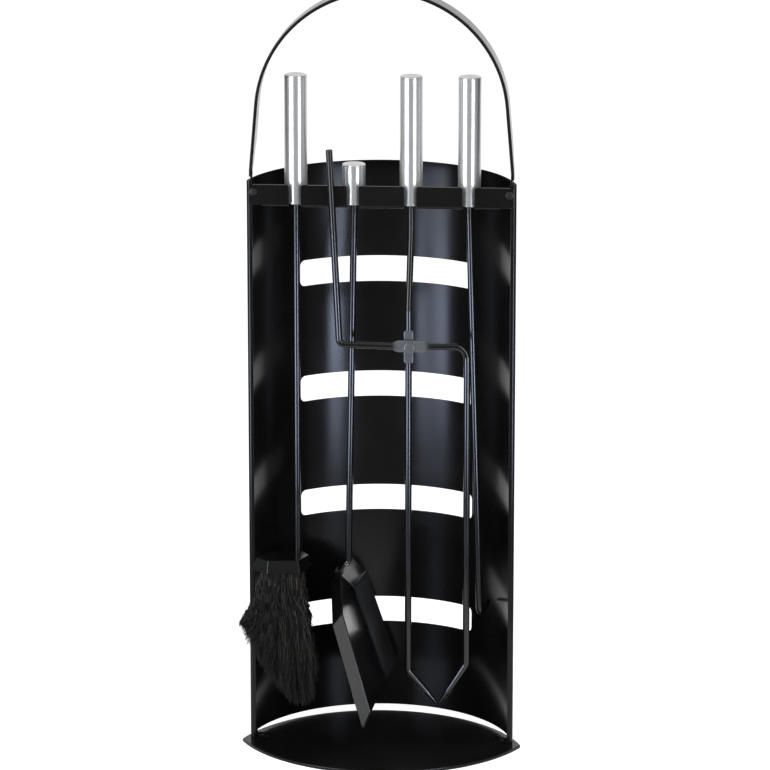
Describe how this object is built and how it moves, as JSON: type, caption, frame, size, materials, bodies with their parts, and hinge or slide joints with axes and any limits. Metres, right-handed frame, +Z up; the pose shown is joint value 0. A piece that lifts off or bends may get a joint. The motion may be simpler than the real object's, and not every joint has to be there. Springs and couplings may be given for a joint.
{
  "type": "fireplace tool set",
  "caption": "Slotted half-round sheet stand on a lens-shaped base, with a carrying hoop and a notched rail from which a brush, shovel, tongs and poker hang by their grips.",
  "frame": {"origin": "centre of the base plate's underside, below the middle of the stand's front opening", "axes": "+Z up, front towards -Y, +X to the right when the set is seen from the front"},
  "size_m": [0.2497, 0.1748, 0.681],
  "materials": {
    "gloss_black": "gloss black enamel",
    "satin_black": "satin black paint",
    "brushed_steel": "satin tube",
    "zinc": "black zinc",
    "fibre": "stiff plant fibre"
  },
  "bodies": {
    "stand": {"base_plate": "gloss_black", "back_stand": "gloss_black", "tool_rail": "gloss_black", "carry_hoop": "satin_black", "rail_bolt_left": "zinc", "rail_bolt_right": "zinc", "rail_nut_left": "zinc", "rail_nut_right": "zinc", "base_screw_left": "zinc", "base_screw_right": "zinc"},
    "brush": {"brush_grip": "brushed_steel", "brush_grip_cap": "brushed_steel", "brush_grip_insert": "satin_black", "brush_rod": "satin_black", "brush_cap": "satin_black", "brush_bristles_1": "fibre", "brush_bristles_2": "fibre", "brush_bristles_3": "fibre", "brush_bristles_4": "fibre"},
    "shovel": {"shovel_grip": "brushed_steel", "shovel_grip_cap": "brushed_steel", "shovel_grip_insert": "satin_black", "shovel_rod": "satin_black", "shovel_pan": "satin_black", "shovel_rivet": "zinc"},
    "tongs": {"tongs_grip": "brushed_steel", "tongs_grip_cap": "brushed_steel", "tongs_grip_insert": "satin_black", "tongs_main_rod": "satin_black", "tongs_pivot_rivet": "zinc"},
    "poker": {"poker_grip": "brushed_steel", "poker_grip_cap": "brushed_steel", "poker_grip_insert": "satin_black", "poker_rod": "satin_black"},
    "tongs_lever": {"tongs_lever": "satin_black"}
  },
  "joints": [
    {"name": "brush_lift", "type": "slide", "parent": "stand", "child": "brush", "axis": [0, 0, 1], "range_m": [0, 0.025]},
    {"name": "shovel_lift", "type": "slide", "parent": "stand", "child": "shovel", "axis": [0, 0, 1], "range_m": [0, 0.025]},
    {"name": "tongs_lift", "type": "slide", "parent": "stand", "child": "tongs", "axis": [0, 0, 1], "range_m": [0, 0.025]},
    {"name": "poker_lift", "type": "slide", "parent": "stand", "child": "poker", "axis": [0, 0, 1], "range_m": [0, 0.025]},
    {"name": "tongs_open", "type": "hinge", "parent": "tongs", "child": "tongs_lever", "pos_m": [0.025, -0.0075, 0.368], "axis": [0, -1, 0], "range_deg": [0, 22]}
  ]
}
